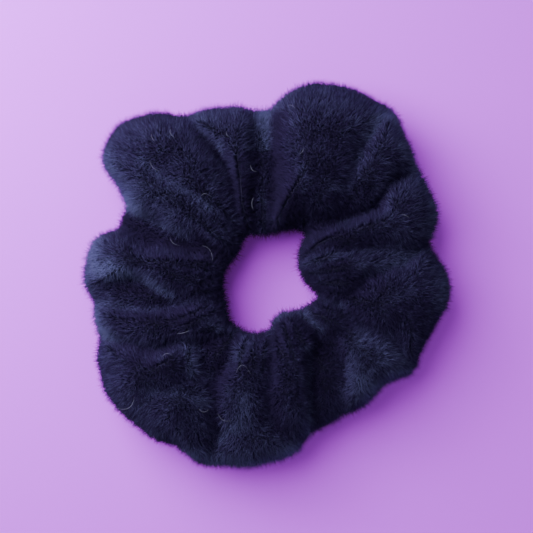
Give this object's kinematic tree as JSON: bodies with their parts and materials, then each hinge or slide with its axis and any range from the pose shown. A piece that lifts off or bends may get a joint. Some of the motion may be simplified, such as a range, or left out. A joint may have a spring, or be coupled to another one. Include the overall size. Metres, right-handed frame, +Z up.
{
  "type": "scrunchie",
  "caption": "Ring-shaped hair tie: a wide plush fabric tube gathered in deep soft folds on a hidden elastic band, lying flat.",
  "frame": {"origin": "middle of the scrunchie at the surface that it lies on", "axes": "+Z up, along the axis of the ring; +Y along its longest width, towards the closing seam; the base section is at -Y"},
  "size_m": [0.1146, 0.1198, 0.0309],
  "materials": {
    "plush": "dense short plush pile, near-black navy, matt with a soft bluish sheen",
    "elastic": "braided elastic band, black",
    "thread": "spun polyester sewing thread, near-black"
  },
  "bodies": {
    "base": {"cover_base": "plush", "elastic_base": "elastic", "seam_thread_base": "thread"},
    "right_1": {"cover_right_1": "plush", "elastic_right_1": "elastic", "seam_thread_right_1": "thread"},
    "right_2": {"cover_right_2": "plush", "elastic_right_2": "elastic", "seam_thread_right_2": "thread"},
    "right_3": {"cover_right_3": "plush", "elastic_right_3": "elastic", "seam_thread_right_3": "thread"},
    "right_4": {"cover_right_4": "plush", "elastic_right_4": "elastic", "seam_thread_right_4": "thread"},
    "right_5": {"cover_right_5": "plush", "elastic_right_5": "elastic", "seam_thread_right_5": "thread"},
    "right_6": {"cover_right_6": "plush", "elastic_right_6": "elastic", "seam_thread_right_6": "thread", "closing_seam_thread": "thread", "elastic_join_needle_thread": "thread", "elastic_join_bobbin_thread": "thread"},
    "left_1": {"cover_left_1": "plush", "elastic_left_1": "elastic", "seam_thread_left_1": "thread"},
    "left_2": {"cover_left_2": "plush", "elastic_left_2": "elastic", "seam_thread_left_2": "thread"},
    "left_3": {"cover_left_3": "plush", "elastic_left_3": "elastic", "seam_thread_left_3": "thread"},
    "left_4": {"cover_left_4": "plush", "elastic_left_4": "elastic", "seam_thread_left_4": "thread"},
    "left_5": {"cover_left_5": "plush", "elastic_left_5": "elastic", "seam_thread_left_5": "thread"},
    "left_6": {"cover_left_6": "plush", "elastic_left_6": "elastic", "seam_thread_left_6": "thread"}
  },
  "joints": [
    {"name": "stretch_right_1", "type": "slide", "parent": "base", "child": "right_1", "axis": [0.9272, 0.3746, 0], "range_m": [0, 0.0155], "stiffness_N_per_m": 100},
    {"name": "stretch_right_2", "type": "slide", "parent": "right_1", "child": "right_2", "axis": [0.6157, 0.788, 0], "range_m": [0, 0.0155], "stiffness_N_per_m": 100},
    {"name": "stretch_right_3", "type": "slide", "parent": "right_2", "child": "right_3", "axis": [0.1392, 0.9903, 0], "range_m": [0, 0.0155], "stiffness_N_per_m": 100},
    {"name": "stretch_right_4", "type": "slide", "parent": "right_3", "child": "right_4", "axis": [-0.3746, 0.9272, 0], "range_m": [0, 0.0155], "stiffness_N_per_m": 100},
    {"name": "stretch_right_5", "type": "slide", "parent": "right_4", "child": "right_5", "axis": [-0.788, 0.6157, 0], "range_m": [0, 0.0155], "stiffness_N_per_m": 100},
    {"name": "stretch_right_6", "type": "slide", "parent": "right_5", "child": "right_6", "axis": [-0.9903, 0.1392, 0], "range_m": [0, 0.0155], "stiffness_N_per_m": 100},
    {"name": "stretch_left_1", "type": "slide", "parent": "base", "child": "left_1", "axis": [-0.9903, 0.1392, 0], "range_m": [0, 0.0155], "stiffness_N_per_m": 100},
    {"name": "stretch_left_2", "type": "slide", "parent": "left_1", "child": "left_2", "axis": [-0.788, 0.6157, 0], "range_m": [0, 0.0155], "stiffness_N_per_m": 100},
    {"name": "stretch_left_3", "type": "slide", "parent": "left_2", "child": "left_3", "axis": [-0.3746, 0.9272, 0], "range_m": [0, 0.0155], "stiffness_N_per_m": 100},
    {"name": "stretch_left_4", "type": "slide", "parent": "left_3", "child": "left_4", "axis": [0.1392, 0.9903, 0], "range_m": [0, 0.0155], "stiffness_N_per_m": 100},
    {"name": "stretch_left_5", "type": "slide", "parent": "left_4", "child": "left_5", "axis": [0.6157, 0.788, 0], "range_m": [0, 0.0155], "stiffness_N_per_m": 100},
    {"name": "stretch_left_6", "type": "slide", "parent": "left_5", "child": "left_6", "axis": [0.9272, 0.3746, 0], "range_m": [0, 0.0155], "stiffness_N_per_m": 100}
  ],
  "couplings": [
    {"joint": "stretch_right_2", "follows": "stretch_right_1", "ratio": 1},
    {"joint": "stretch_right_3", "follows": "stretch_right_1", "ratio": 1},
    {"joint": "stretch_right_4", "follows": "stretch_right_1", "ratio": 1},
    {"joint": "stretch_right_5", "follows": "stretch_right_1", "ratio": 1},
    {"joint": "stretch_right_6", "follows": "stretch_right_1", "ratio": 1},
    {"joint": "stretch_left_1", "follows": "stretch_right_1", "ratio": 1},
    {"joint": "stretch_left_2", "follows": "stretch_right_1", "ratio": 1},
    {"joint": "stretch_left_3", "follows": "stretch_right_1", "ratio": 1},
    {"joint": "stretch_left_4", "follows": "stretch_right_1", "ratio": 1},
    {"joint": "stretch_left_5", "follows": "stretch_right_1", "ratio": 1},
    {"joint": "stretch_left_6", "follows": "stretch_right_1", "ratio": 1}
  ]
}
